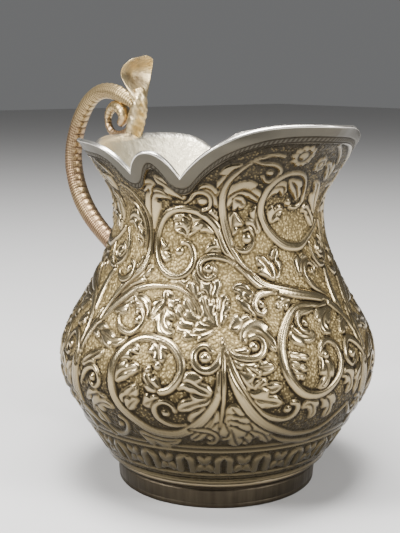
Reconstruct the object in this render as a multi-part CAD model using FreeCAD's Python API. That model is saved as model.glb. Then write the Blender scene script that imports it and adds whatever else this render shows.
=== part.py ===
import FreeCAD, Part
import math
import os

# Chased silver cream jug with a scalloped, flared mouth, a drawn-out pouring lip, and a cast
# serpent handle that rises into a hood above the rim. Millimetres. Z is up, the origin is the
# centre of the foot on the table, the lip points along +X and the handle along -X.

Vector = FreeCAD.Vector

# ---------------------------------------------------------------- driving dimensions
wall = 0.9                  # thickness of the raised sheet
foot_height = 5.3
foot_radius = 23.6          # outside of the foot, at the table
foot_top_radius = 24.0
foot_thickness = 2.0
wire_height = 1.6           # half-round wire soldered where the foot meets the body
wire_bulge = 1.15
wire_flats = 6              # flats that round the wire's outside

body_bottom_radius = 26.4   # body just above the wire
belly_height = 30.0
belly_radius = 37.7
neck_height = 63.5
neck_radius = 24.9
rim_height = 81.4           # level at which the round flare is measured
rim_radius = 33.1
flare_above_rim = 6.6       # the sheet is drawn this far above that level, before it is trimmed
flare_growth = 1.6

lip_full_height = 90.0      # level at which the lip would reach its full plan
lip_power = 4.0             # how late the lip's pull sets in above the neck
lip_reach = 43.0            # blunt end of the lip in its full plan
lip_side_distance = 28.7    # from the axis to the straight side of the lip
lip_side_angle = 52.0       # direction that the straight side faces
lip_sharpness = 20.0        # how tightly the lip's side turns into its blunt end
lip_side_end = 132.0        # past this direction the mouth is round

skin_sections = 18          # hammered courses between the floor and the top of the sheet
plan_points = 36            # points of the plan at each course

# Lobes of the mouth, from the lip round to the handle, as angles from the lip.
lip_notch = 58.0
small_lobe_notch = 82.0
side_lobe_notch = 140.0
lip_notch_height = 74.2
small_notch_height = 74.8
side_notch_height = 75.0
lip_rise = 11.0             # how far each lobe's top stands above the notches beside it
small_lobe_rise = 5.1
side_lobe_rise = 6.0
handle_lobe_rise = 5.2
lip_fullness = 2.75         # a low fullness is a pointed lobe, a high one is square-shouldered
small_lobe_fullness = 2.25
side_lobe_fullness = 3.8
handle_lobe_fullness = 5.0
lip_tilt = 1.6              # the hand-cut lip is higher on its right, seen from the handle
edge_lean = 0.5             # the cut edge leans, so that it stays square to the flared sheet
edge_steps = 24             # points along the edge of a lobe
shears_reach = 12.0         # the shears that trim a lobe pass this far inside and outside it
shears_height = 40.0

# ---------------------------------------------------------------- vessel outline
# Shares of the height and radius covered between one named level and the next.
lower_shares = [(0.0, 0.0), (0.226, 0.292), (0.457, 0.58), (0.70, 0.86), (1.0, 1.0)]
upper_shares = [(0.224, 0.125), (0.433, 0.445), (0.642, 0.727), (0.851, 0.945), (1.0, 1.0)]
flare_shares = [(0.307, 0.075), (0.547, 0.38), (0.743, 0.63), (0.90, 0.845), (1.0, 1.0)]
beyond_shares = [(0.5, 0.55), (1.0, 1.0)]

foot_top = foot_height
body_bottom = foot_height + wire_height + 0.1
floor_height = body_bottom + wall


def between(low, high, shares):
    return [(low[0] + (high[0] - low[0]) * up, low[1] + (high[1] - low[1]) * out)
            for up, out in shares]


bottom_level = (body_bottom, body_bottom_radius)
belly_level = (belly_height, belly_radius)
neck_level = (neck_height, neck_radius)
rim_level = (rim_height, rim_radius)
top_level = (rim_height + flare_above_rim, rim_radius + flare_growth)

levels = (between(bottom_level, belly_level, lower_shares)
          + between(belly_level, neck_level, upper_shares)
          + between(neck_level, rim_level, flare_shares)
          + between(rim_level, top_level, beyond_shares))
outline = Part.BSplineCurve()
outline.interpolate(Points=[Vector(height, radius, 0) for height, radius in levels])


def outline_at(height):
    """Outside radius of the round body at a height, and how fast it grows with height."""
    low, high = outline.FirstParameter, outline.LastParameter
    for halving in range(30):
        middle = (low + high) / 2.0
        if outline.value(middle).x < height:
            low = middle
        else:
            high = middle
    along = outline.tangent(low)[0]
    return outline.value(low).y, along.y / along.x


# ---------------------------------------------------------------- pouring lip
def soft_least(first, second, sharpness):
    return (first ** -sharpness + second ** -sharpness) ** (-1.0 / sharpness)


def mouth_radius(angle):
    """Full plan of the mouth: round, with two straight sides that run out to the blunt end
    of the lip."""
    away = abs(math.degrees(math.atan2(math.sin(angle), math.cos(angle))))
    turn = math.radians(away - lip_side_angle)
    if away > lip_side_end:
        return rim_radius
    side = lip_side_distance / math.cos(turn)
    if away < lip_side_angle:
        return soft_least(side, lip_reach / math.cos(angle), lip_sharpness)
    return soft_least(side, rim_radius, 2.0 * lip_sharpness)


def lip_share(height):
    """How much of the lip's pull has set in at a height: none at the neck, all at its top."""
    rise = (height - neck_height) / (lip_full_height - neck_height)
    return max(rise, 0.0) ** lip_power


def plan_radius(angle, height, round_radius):
    return round_radius + lip_share(height) * (mouth_radius(angle) - rim_radius)


def plan_wire(height, round_radius, shrink):
    angles = [2.0 * math.pi * step / plan_points for step in range(plan_points)]
    points = []
    for angle in angles:
        radius = plan_radius(angle, height, round_radius) - shrink
        points.append(Vector(radius * math.cos(angle), radius * math.sin(angle), height))
    curve = Part.BSplineCurve()
    curve.interpolate(Points=points, PeriodicFlag=True, Parameters=angles + [2.0 * math.pi])
    return Part.Wire([curve.toShape()])


def skin(inset):
    """Solid inside the vessel's outside face, moved in by the given thickness."""
    start = floor_height if inset > 0.0 else body_bottom
    wires = []
    for section in range(skin_sections + 1):
        height = start + (top_level[0] - start) * section / skin_sections
        radius, growth = outline_at(height)
        wires.append(plan_wire(height, radius, inset * math.hypot(1.0, growth)))
    return Part.makeLoft(wires, True, True)


# ---------------------------------------------------------------- scalloped edge
def lobe_height(share, start_height, end_height, rise, fullness, tilt):
    """Height of one lobe's edge; share runs from -1 at one notch to 1 at the other."""
    base = start_height + (end_height - start_height) * (share + 1.0) / 2.0
    return base + (rise - tilt * share) * (1.0 - abs(share) ** fullness)


def edge_cutter(start, end, start_height, end_height, rise, fullness, tilt):
    """Block that takes away everything above one lobe, between its two notches."""
    inner = []
    outer = []
    for step in range(edge_steps + 1):
        share = -1.0 + 2.0 * step / edge_steps
        degrees = start + (end - start) * (share + 1.0) / 2.0
        angle = math.radians(degrees)
        height = lobe_height(share, start_height, end_height, rise, fullness, tilt)
        edge = plan_radius(angle, height, outline_at(height)[0])
        for row, offset in ((inner, -shears_reach), (outer, shears_reach)):
            reach = edge + offset
            row.append(Vector(reach * math.cos(angle), reach * math.sin(angle),
                              height - edge_lean * offset))
    edges = []
    for row in (inner, outer):
        curve = Part.BSplineCurve()
        curve.interpolate(Points=row)
        edges.append(curve.toShape())
    floor = Part.makeRuledSurface(edges[0], edges[1])
    return floor.extrude(Vector(0, 0, shears_height))


def make_body(outside):
    collar = Part.makeCylinder(foot_top_radius, body_bottom - foot_top, Vector(0, 0, foot_top))
    recess = Part.makeCylinder(foot_top_radius - foot_thickness, body_bottom - foot_top,
                               Vector(0, 0, foot_top))
    lobes = [
        (-lip_notch, lip_notch, lip_notch_height, lip_notch_height,
         lip_rise, lip_fullness, lip_tilt),
        (lip_notch, small_lobe_notch, lip_notch_height, small_notch_height,
         small_lobe_rise, small_lobe_fullness, 0.0),
        (small_lobe_notch, side_lobe_notch, small_notch_height, side_notch_height,
         side_lobe_rise, side_lobe_fullness, 0.0),
        (side_lobe_notch, 360.0 - side_lobe_notch, side_notch_height, side_notch_height,
         handle_lobe_rise, handle_lobe_fullness, 0.0),
        (360.0 - side_lobe_notch, 360.0 - small_lobe_notch, side_notch_height,
         small_notch_height, side_lobe_rise, side_lobe_fullness, 0.0),
        (360.0 - small_lobe_notch, 360.0 - lip_notch, small_notch_height,
         lip_notch_height, small_lobe_rise, small_lobe_fullness, 0.0),
    ]
    cutters = [edge_cutter(*lobe) for lobe in lobes]
    body = outside.fuse(collar).cut(recess).cut(skin(wall))
    for cutter in cutters:
        body = body.cut(cutter)
    return body.removeSplitter()


# ---------------------------------------------------------------- foot
def ring_of(profile_edges):
    return Part.Face(Part.Wire(profile_edges)).revolve(Vector(0, 0, 0), Vector(0, 0, 1), 360)


def make_foot_ring():
    corners = [
        Vector(foot_radius - foot_thickness, 0, 0),
        Vector(foot_radius, 0, 0),
        Vector(foot_top_radius, 0, foot_top),
        Vector(foot_top_radius - foot_thickness, 0, foot_top),
    ]
    return ring_of(Part.makePolygon(corners + corners[:1]).Edges)


def make_foot_wire():
    """Half-round wire with drawn flats, soldered against the collar of the body."""
    corners = []
    for flat in range(wire_flats + 1):
        turn = math.pi * (flat / wire_flats - 0.5)
        corners.append(Vector(foot_top_radius + wire_bulge * math.cos(turn), 0,
                              foot_top + wire_height * (0.5 + 0.5 * math.sin(turn))))
    return ring_of(Part.makePolygon(corners + corners[:1]).Edges)


# ---------------------------------------------------------------- serpent handle
# Centre line as (distance behind the axis, height) with the serpent's thickness there. The body
# is built of short rings, like the plates of a snake's belly.
serpent_rings = 24
curl_rings = 12
neck_rings = 7
serpent_path = [
    (31.0, 46.2, 5.0), (44.9, 52.3, 5.2), (56.3, 61.2, 5.6), (60.4, 71.7, 5.3),
    (57.3, 82.2, 4.8), (48.6, 90.1, 4.2), (38.2, 90.1, 4.4), (32.0, 87.2, 2.4),
]
curl_path = [
    (33.9, 81.6, 2.0), (38.4, 79.9, 1.9), (42.4, 80.7, 1.8), (43.8, 83.8, 1.7),
    (42.0, 86.7, 2.2), (38.6, 86.9, 2.9), (36.6, 84.8, 2.8), (38.3, 82.7, 1.7),
]


def tapered_tube(path, rings):
    """Round, tapering solid along a smooth centre line in the plane of the handle."""
    points = [Vector(-behind, 0, height) for behind, height, thickness in path]
    line = Part.BSplineCurve()
    line.interpolate(Points=points)
    knots = [line.parameter(point) for point in points]
    wires = []
    for ring in range(rings + 1):
        place = line.FirstParameter + (line.LastParameter - line.FirstParameter) * ring / rings
        index = max(i for i in range(len(knots) - 1) if knots[i] <= place + 1e-9)
        share = (place - knots[index]) / (knots[index + 1] - knots[index])
        thickness = path[index][2] + (path[index + 1][2] - path[index][2]) * share
        along = line.tangent(place)[0]
        turn = math.degrees(math.atan2(along.x, along.z))
        circle = Part.Wire([Part.makeCircle(thickness / 2.0)])
        circle.Placement = FreeCAD.Placement(line.value(place),
                                             FreeCAD.Rotation(Vector(0, 1, 0), turn))
        wires.append(circle)
    return Part.makeLoft(wires, True, True)


neck_path = [
    (32.8, 80.2, 3.8), (31.7, 83.2, 4.4), (30.4, 86.6, 4.1), (29.8, 89.4, 3.4), (30.2, 91.6, 2.8),
]

# Sections of the hood, from the neck up: height, distance of the side edges behind the axis,
# half width, depth of the back, and how far the front stands out (hollow when negative).
hood_sections = [
    (89.3, 29.8, 1.7, 1.5, 1.2),
    (91.2, 30.5, 2.6, 1.7, 0.2),
    (93.4, 31.2, 4.0, 2.0, -0.8),
    (96.0, 31.5, 5.0, 2.5, -1.5),
    (98.3, 30.8, 4.6, 2.3, -1.4),
    (100.0, 29.9, 2.6, 1.3, -0.4),
]
hood_edge = 0.5             # thickness of the hood's side edges
hood_hem = 0.1              # how much narrower the hood is in front than behind


def hood_wire(height, behind, half_width, back, front):
    left = Vector(-behind, -half_width, height)
    right = Vector(-behind, half_width, height)
    inner_left = Vector(-behind + hood_edge, hood_hem - half_width, height)
    inner_right = Vector(-behind + hood_edge, half_width - hood_hem, height)
    return Part.Wire([
        Part.Arc(left, Vector(-behind - back, 0, height), right).toShape(),
        Part.makeLine(right, inner_right),
        Part.Arc(inner_right, Vector(-behind + front, 0, height), inner_left).toShape(),
        Part.makeLine(inner_left, left),
    ])


def make_hood():
    hood = Part.makeLoft([hood_wire(*section) for section in hood_sections], True, False)
    return hood.fuse(tapered_tube(neck_path, neck_rings)).removeSplitter()


# ---------------------------------------------------------------- assembly
outside = skin(0.0)
body = make_body(outside)
hood = make_hood().cut(body)
serpent = tapered_tube(serpent_path, serpent_rings).cut(hood).cut(outside)
curl = tapered_tube(curl_path, curl_rings).cut(serpent).cut(hood).cut(body)

nodes = {
    "vessel": body,
    "foot_ring": make_foot_ring(),
    "foot_wire": make_foot_wire(),
    "serpent_handle": serpent,
    "tail_curl": curl,
    "serpent_hood": hood,
}

os.makedirs("parts", exist_ok=True)
for name, shape in nodes.items():
    shape.exportStep("parts/" + name + ".step")
    box = shape.BoundBox
    print(name, len(shape.Solids), "solids", round(shape.Volume, 2), "mm3",
          [round(value, 2) for value in (box.XMin, box.XMax, box.YMin, box.YMax, box.ZMin, box.ZMax)],
          "valid" if shape.isValid() else "invalid")
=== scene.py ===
import math

import bpy
import numpy as np
from mathutils import Matrix, Vector


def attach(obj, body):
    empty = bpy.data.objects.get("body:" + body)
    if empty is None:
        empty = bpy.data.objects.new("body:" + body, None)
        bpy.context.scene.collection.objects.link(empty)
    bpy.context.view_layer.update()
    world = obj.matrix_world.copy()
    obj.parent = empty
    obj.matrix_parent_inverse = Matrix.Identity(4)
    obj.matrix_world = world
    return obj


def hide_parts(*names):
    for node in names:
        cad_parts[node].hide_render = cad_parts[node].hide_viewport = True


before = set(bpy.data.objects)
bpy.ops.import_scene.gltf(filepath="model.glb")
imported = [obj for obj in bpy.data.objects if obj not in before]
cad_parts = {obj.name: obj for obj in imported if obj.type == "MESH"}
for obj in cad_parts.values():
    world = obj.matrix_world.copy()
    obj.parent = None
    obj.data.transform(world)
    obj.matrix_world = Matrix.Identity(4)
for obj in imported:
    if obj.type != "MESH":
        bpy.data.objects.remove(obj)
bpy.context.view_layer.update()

mm = 0.001
degree = math.pi / 180.0
print("frame loaded:", sorted(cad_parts))


# ---- curves and small helpers
def curveThrough(xs, ys):
    # a smooth curve through three or more points, as a function of x; each end follows its last three
    xs, ys = np.array(xs, float), np.array(ys, float)
    count = len(xs)
    flat = ys.reshape(count, -1)
    gaps = np.diff(xs)
    slopes = np.diff(flat, axis=0) / gaps[:, None]
    weights = np.zeros((count, count))
    sides = np.zeros(flat.shape)
    for i in range(1, count - 1):
        weights[i, i - 1:i + 2] = gaps[i], 2.0 * (gaps[i - 1] + gaps[i]), gaps[i - 1]
        sides[i] = 3.0 * (gaps[i] * slopes[i - 1] + gaps[i - 1] * slopes[i])
    weights[0, 0] = weights[-1, -1] = 1.0
    sides[0] = slopes[0] - gaps[0] * (slopes[1] - slopes[0]) / (gaps[0] + gaps[1])
    sides[-1] = slopes[-1] + gaps[-1] * (slopes[-1] - slopes[-2]) / (gaps[-1] + gaps[-2])
    leans = np.linalg.solve(weights, sides)

    def at(x):
        x = np.asarray(x, float)
        i = np.clip(np.searchsorted(xs, x, "right") - 1, 0, count - 2)
        t = ((x - xs[i]) / gaps[i])[..., None]
        wide = gaps[i][..., None]
        found = (flat[i] * (1 + 2 * t) * (1 - t) ** 2 + flat[i + 1] * t ** 2 * (3 - 2 * t)
                 + leans[i] * wide * t * (1 - t) ** 2 - leans[i + 1] * wide * t ** 2 * (1 - t))
        return found.reshape(x.shape + ys.shape[1:])

    return at


def smoothStep(low, high, value):
    t = np.clip((value - low) / (high - low), 0.0, 1.0)
    return t * t * (3.0 - 2.0 * t)


def rounded(inside, soft):
    # a rounded side: rises from 0 at an outline to 1 where a point lies soft inside it
    return np.sin(math.pi / 2.0 * np.clip(inside / soft, 0.0, 1.0))


def clearSelection():
    if bpy.context.object and bpy.context.object.mode != "OBJECT":
        bpy.ops.object.mode_set(mode="OBJECT")
    bpy.ops.object.select_all(action="DESELECT")


def gridPiece(name, points, closedRound, fields, normals=None, mapped=True):
    # a mesh over a grid of points (rows, columns, 3); fields are values that its finish reads
    rows, columns = points.shape[:2]
    places = np.arange(rows * columns).reshape(rows, columns)
    if closedRound:
        places = np.hstack([places, places[:, :1]])
    corners = [places[:-1, :-1], places[1:, :-1], places[1:, 1:], places[:-1, 1:]]
    faces = np.stack(corners, axis=-1).reshape(-1, 4)
    mesh = bpy.data.meshes.new(name)
    mesh.from_pydata(points.reshape(-1, 3) * mm, [], faces.tolist())
    for label, values in fields.items():
        layer = mesh.attributes.new(label, "FLOAT", "POINT")
        layer.data.foreach_set("value", np.ascontiguousarray(values, np.float32).ravel())
    if mapped:
        across = np.arange(places.shape[1]) / (places.shape[1] - 1)
        up = np.arange(rows) / (rows - 1)
        spots = np.stack(np.broadcast_arrays(across[None, :], up[:, None]), axis=-1) * 0.98 + 0.01
        rounds = [spots[:-1, :-1], spots[1:, :-1], spots[1:, 1:], spots[:-1, 1:]]
        chart = mesh.uv_layers.new(name="OFBake")
        chart.data.foreach_set("uv", np.stack(rounds, axis=2).astype(np.float32).ravel())
    mesh.shade_smooth()
    if normals is not None:
        mesh.normals_split_custom_set_from_vertices(normals.reshape(-1, 3).tolist())
    piece = bpy.data.objects.new(name, mesh)
    bpy.context.scene.collection.objects.link(piece)
    return piece


def gridNormals(points):
    # outward normals of a grid that is closed round
    beside = np.roll(points, -1, axis=1) - np.roll(points, 1, axis=1)
    normals = np.cross(np.gradient(points, axis=0), beside)
    return normals / np.maximum(np.linalg.norm(normals, axis=-1, keepdims=True), 1e-12)


def doubledEnds(rows):
    return np.concatenate([rows[:1], rows, rows[-1:]])


def capped(rows):
    # a tube's rows of points, each end drawn together to its middle
    closed = doubledEnds(rows)
    closed[0], closed[-1] = rows[0].mean(axis=0), rows[-1].mean(axis=0)
    return closed


def weld(piece, outward):
    # merges points that fall together, and turns the faces outward if asked
    clearSelection()
    bpy.context.view_layer.objects.active = piece
    piece.select_set(True)
    bpy.ops.object.mode_set(mode="EDIT")
    bpy.ops.mesh.select_all(action="SELECT")
    bpy.ops.mesh.remove_doubles(threshold=1e-7)
    if outward:
        bpy.ops.mesh.normals_make_consistent(inside=False)
    bpy.ops.object.mode_set(mode="OBJECT")


def blurred(values, passes):
    for _ in range(passes):
        values = (np.roll(values, 1, 1) + 2 * values + np.roll(values, -1, 1)) / 4
        padded = doubledEnds(values)
        values = (padded[:-2] + 2 * padded[1:-1] + padded[2:]) / 4
    return values


# ---- the vessel's form, the same levels and lobes as its sheet
vessel = {
    "wall": 0.9,
    "levels": [(7.0, 26.4), (12.2, 29.7), (17.51, 32.95), (23.1, 36.12), (30.0, 37.7),
               (37.5, 36.1), (44.51, 32.0), (51.51, 28.39), (58.51, 25.6), (63.5, 24.9),
               (69.0, 25.52), (73.29, 28.02), (76.8, 30.07), (79.61, 31.83), (81.4, 33.1),
               (84.7, 33.98), (88.0, 34.7)],
    "rimRadius": 33.1, "lipReach": 43.0, "lipSide": 28.7, "lipAngle": 52.0, "lipSharpness": 20.0,
    "lipPower": 4.0, "lipEnd": 80.0, "neckHeight": 63.5, "lipFullHeight": 90.0, "edgeLean": 0.5,
    "steps": 800,
    # from, to, height at each end, rise of the middle, fullness, tilt
    "lobes": [(-58, 58, 74.2, 74.2, 11.0, 2.75, 1.6), (58, 82, 74.2, 74.8, 5.1, 2.25, 0.0),
              (82, 140, 74.8, 75.0, 6.0, 3.8, 0.0), (140, 220, 75.0, 75.0, 5.2, 5.0, 0.0),
              (220, 278, 75.0, 74.8, 6.0, 3.8, 0.0), (278, 302, 74.8, 74.2, 5.1, 2.25, 0.0)],
}
outline = curveThrough(*zip(*vessel["levels"]))
bodyBottom = vessel["levels"][0][0]
heights = np.linspace(bodyBottom, vessel["levels"][-1][0], vessel["steps"])
leaning = np.gradient(outline(heights), heights)
lengths = np.concatenate([[0.0], np.cumsum(np.hypot(np.diff(heights), np.diff(outline(heights))))])


def lengthAt(height):
    return np.interp(height, heights, lengths)


def softLeast(first, second, sharpness):
    return (first ** -sharpness + second ** -sharpness) ** (-1.0 / sharpness)


def mouthRadius(angle):
    away = np.abs((angle + 180.0) % 360.0 - 180.0)
    turn = away - vessel["lipAngle"]
    end = vessel["lipEnd"]
    side = vessel["lipSide"] / np.cos(np.clip(turn, -end, end) * degree)
    ahead = vessel["lipReach"] / np.cos(np.minimum(away, end) * degree)
    near = softLeast(side, ahead, vessel["lipSharpness"])
    far = softLeast(side, vessel["rimRadius"], 2.0 * vessel["lipSharpness"])
    return np.where(np.abs(turn) > end, vessel["rimRadius"], np.where(turn < 0.0, near, far))


def planRadius(angle, height):
    rise = (height - vessel["neckHeight"]) / (vessel["lipFullHeight"] - vessel["neckHeight"])
    share = np.maximum(rise, 0.0) ** vessel["lipPower"]
    return outline(height) + share * (mouthRadius(angle) - vessel["rimRadius"])


def insideRadius(angle, height):
    lean = np.interp(height, heights, leaning)
    return planRadius(angle, height) - vessel["wall"] * np.hypot(1.0, lean)


def around(angle, radius, height):
    # angles run from the lip towards the near side
    return np.stack(np.broadcast_arrays(radius * np.cos(angle * degree),
                                        -radius * np.sin(angle * degree), height), axis=-1)


def edgeHeight(angle):
    first = vessel["lobes"][0][0]
    turned = (np.asarray(angle, float) - first) % 360.0 + first
    found = np.zeros(turned.shape)
    for start, end, startHeight, endHeight, rise, fullness, tilt in vessel["lobes"]:
        here = (turned >= start) & (turned <= end)
        share = np.clip(2.0 * (turned - start) / (end - start) - 1.0, -1.0, 1.0)
        base = startHeight + (endHeight - startHeight) * (share + 1.0) / 2.0
        lobe = base + (rise + tilt * share) * (1.0 - np.abs(share) ** fullness)
        found = np.where(here, lobe, found)
    return found


# ---- the chased field: strokes laid one over another on a third of the jug, then repeated
field = {
    "from": -22.0, "span": 120.0, "columns": 300, "low": 16.3, "turn": 50.0,
    "lowRows": 142, "highRows": 140, "border": 3.5, "depth": 0.66, "grain": 0.07,
    "stemWidth": 0.86, "leafWidth": 1.95, "neckFiner": 0.18, "neckFrom": 54.0, "neckFull": 64.0,
    "lineInner": 0.04, "lineOuter": 0.34, "knotStep": 0.45, "leastRadius": 22.0, "borderSteps": 14,
}
columnStep = field["span"] / field["columns"]
allAngles = field["from"] + columnStep * np.arange(3 * field["columns"])
rimLine = edgeHeight(allAngles)
borderLine = np.full(allAngles.shape, 1e9)
for shift in range(-field["borderSteps"], field["borderSteps"] + 1):
    # the border's lower line keeps its distance from the edge, also beside a notch
    slid = vessel["rimRadius"] * 0.9 * columnStep * degree * shift
    if abs(slid) < field["border"]:
        drop = math.sqrt(field["border"] ** 2 - slid ** 2)
        borderLine = np.minimum(borderLine, np.roll(rimLine, shift) - drop)

lowLengths = np.linspace(lengthAt(field["low"]), lengthAt(field["turn"]), field["lowRows"])
lowHeights = np.interp(lowLengths, lengths, heights)
highShares = np.arange(1, field["highRows"] + 1)[:, None] / field["highRows"]
fieldHeights = np.vstack([
    np.repeat(lowHeights[:, None], allAngles.size, axis=1),
    field["turn"] + (borderLine[None, :] - field["turn"]) * highShares,
])
fieldAngles = np.broadcast_to(allAngles[None, :], fieldHeights.shape)

third = slice(0, field["columns"])
cellAngle = allAngles[third]
cellHeight = fieldHeights[:, third]
cellLength = lengthAt(cellHeight)
cellRadius = planRadius(fieldAngles[:, third], fieldHeights[:, third])
relief = np.zeros(cellLength.shape)


def nearStroke(points, reach):
    # for every grid point near a stroke: how far beside it, past its ends and along it, and its length
    path = np.array(points, float)
    up = lengthAt(path[:, 1])
    wide = (outline(path[1:, 1]) + outline(path[:-1, 1])) / 2.0 * degree
    along = np.concatenate([[0.0], np.cumsum(np.hypot(np.diff(path[:, 0]) * wide, np.diff(up)))])
    line = curveThrough(along, np.column_stack([path[:, 0], up]))
    knots = np.linspace(0.0, along[-1], max(10, int(along[-1] / field["knotStep"])))
    places = line(knots)
    span = reach / (field["leastRadius"] * degree)
    for turn in (-field["span"], 0.0, field["span"]):
        angles = places[:, 0] + turn
        columns = np.nonzero((cellAngle > angles.min() - span) & (cellAngle < angles.max() + span))[0]
        if columns.size == 0:
            continue
        tall = cellLength[:, columns]
        rows = np.nonzero((tall.max(axis=1) > places[:, 1].min() - reach)
                          & (tall.min(axis=1) < places[:, 1].max() + reach))[0]
        if rows.size == 0:
            continue
        patch = np.ix_(rows, columns)
        radius = cellRadius[patch][..., None].astype(np.float32)
        beside = (cellAngle[columns][None, :, None] - angles).astype(np.float32) * degree * radius
        above = (cellLength[patch][..., None] - places[:, 1]).astype(np.float32)
        nearest = np.argmin(beside ** 2 + above ** 2, axis=-1)
        beside = np.take_along_axis(beside, nearest[..., None], -1)[..., 0]
        above = np.take_along_axis(above, nearest[..., None], -1)[..., 0]
        lean = np.gradient(places, axis=0)
        headingAcross = lean[nearest, 0] * degree * cellRadius[patch]
        headingUp = lean[nearest, 1]
        size = np.hypot(headingAcross, headingUp)
        forward = (beside * headingAcross + above * headingUp) / size
        sideways = (above * headingAcross - beside * headingUp) / size
        run = knots[nearest] + forward
        past = np.maximum(np.maximum(-run, run - along[-1]), 0.0)
        yield patch, sideways, past, np.clip(run / along[-1], 0.0, 1.0), along[-1]


def lay(patch, inside, height):
    # a later stroke covers an earlier one, and a chased line runs round it
    before = relief[patch] * smoothStep(field["lineInner"], field["lineOuter"], -inside)
    relief[patch] = np.where(inside > 0.0, np.maximum(height, 0.02), before)


def stem(points, width, flutes, start, end, tall=0.9, swell=0.3):
    # a fluted band that swells from its start and narrows to its end
    for patch, sideways, past, t, _ in nearStroke(points, width * 1.2):
        share = np.where(t < swell, start + (1.0 - start) * smoothStep(0.0, swell, t),
                         1.0 + (end - 1.0) * smoothStep(swell, 1.0, t))
        upper = smoothStep(field["neckFrom"], field["neckFull"], cellHeight[patch])
        half = field["stemWidth"] * width / 2.0 * share * (1.0 - field["neckFiner"] * upper)
        away = np.hypot(sideways, past)
        inside = half - away
        q = np.clip(sideways / half, -1.0, 1.0)
        ridge = 0.5 + 0.5 * np.cos(math.pi * (flutes * q + flutes + 1.0))
        edge = rounded(inside, 0.42)
        lay(patch, inside, tall * edge * (0.28 + 0.22 * (1.0 - q ** 2) + 0.54 * ridge ** 0.7))


def leaf(points, width, lobes, side, tall=0.85, vein=0.5, blunt=0.7):
    # a lobed leaf on a centre line, its lobes swept towards its tip;
    # side -1 or 1 keeps the lobes to one side of the line
    width = width * field["leafWidth"]
    for patch, sideways, past, t, _ in nearStroke(points, width):
        body = np.sin(math.pi * np.clip(t, 0.0, 1.0) ** blunt) ** 0.7 + 0.10
        sweep = t - 0.34 / lobes * np.clip(np.abs(sideways) / (width / 2.0), 0.0, 1.0)
        within = (lobes * sweep) % 1.0
        tooth = smoothStep(0.0, 0.50, within) * (1.0 - smoothStep(0.80, 1.0, within))
        lobed = 0.70 + 0.38 * tooth
        keep = {0: 1.0, 1: (sideways > 0.0) * 1.0, -1: (sideways < 0.0) * 1.0}[side]
        half = width / 2.0 * body * (lobed * keep + 0.72 * (1.0 - keep))
        inside = half - np.hypot(sideways, past)
        q = np.clip(np.abs(sideways) / np.maximum(half, 0.05), 0.0, 1.0)
        crown = 0.64 + 0.30 * (1.0 - (2.0 * q - 0.9) ** 2)
        groove = vein * np.exp(-(sideways / 0.22) ** 2) * smoothStep(0.0, 0.12, t)
        cut = 0.34 * (1.0 - tooth) * smoothStep(0.10, 0.6, q)
        edge = rounded(inside, 0.40)
        lay(patch, inside, tall * edge * (crown - groove - cut))


def bead(angle, height, radius, ring, tall=0.95):
    # a domed bead, with a raised ring round it if ring is more than its radius
    spot = [(angle - 0.2, height), (angle, height), (angle + 0.2, height)]
    for patch, sideways, past, t, length in nearStroke(spot, max(radius, ring) * 1.2):
        away = np.hypot(sideways, past + np.abs(t - 0.5) * length)
        dome = np.sqrt(np.clip(1.0 - (away / radius) ** 2, 0.0, 1.0))
        if ring > radius:
            middle = (ring + radius) / 2.0 + 0.15
            hoop = np.clip(1.0 - (np.abs(away - middle) / ((ring - radius) / 2.0)) ** 2, 0.0, 1.0)
            lay(patch, ring + 0.15 - away, tall * np.maximum(dome, 0.85 * np.sqrt(hoop)))
        else:
            lay(patch, radius - away, tall * dome)


def flower(angle, height, radius, petals):
    # a round flower head: petals about a domed middle
    spot = [(angle - 0.2, height), (angle, height), (angle + 0.2, height)]
    half = field["span"] / 2.0
    middle = 0.42 * radius
    for patch, *_ in nearStroke(spot, radius * 1.2):
        across = cellAngle[patch[1][0]][None, :] - angle
        across = ((across + half) % field["span"] - half) * degree * cellRadius[patch]
        above = cellLength[patch] - lengthAt(height)
        away = np.hypot(across, above)
        turn = np.arctan2(above, across)
        petal = np.abs(np.cos(petals / 2.0 * turn)) ** 0.7
        reach = radius * (0.82 + 0.18 * petal)
        ringed = np.sin(math.pi * np.clip((away - middle) / (reach - middle), 0.0, 1.0)) ** 0.6
        dome = np.sqrt(np.clip(1.0 - (away / middle) ** 2, 0.0, 1.0))
        lay(patch, reach - away, np.maximum(0.9 * dome, (0.45 + 0.35 * petal) * ringed))


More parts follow.
